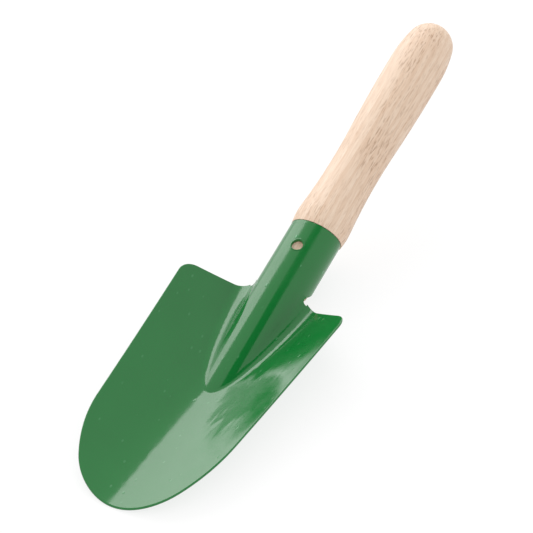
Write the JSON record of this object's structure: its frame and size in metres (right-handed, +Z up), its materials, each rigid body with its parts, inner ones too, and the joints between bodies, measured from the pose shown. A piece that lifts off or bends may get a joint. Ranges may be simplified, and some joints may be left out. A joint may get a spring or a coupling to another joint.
{
  "type": "hand trowel",
  "caption": "Hand trowel: a trough-shaped pressed steel blade whose rolled socket holds a turned wooden handle, for digging and planting.",
  "frame": {"origin": "middle of the bounding box, on the plane that the tool lies on: the back of its blade and the lower end of its socket", "axes": "+Z up, +X from the blade's tip towards the butt of the handle, and Y = 0 is the plane of symmetry"},
  "size_m": [0.3064, 0.082, 0.0693],
  "materials": {
    "green_enamel": "gloss",
    "beech": "satin",
    "steel": "satin"
  },
  "bodies": {
    "root": {"blade": "green_enamel", "handle": "beech", "handle_nail": "steel"}
  },
  "joints": []
}
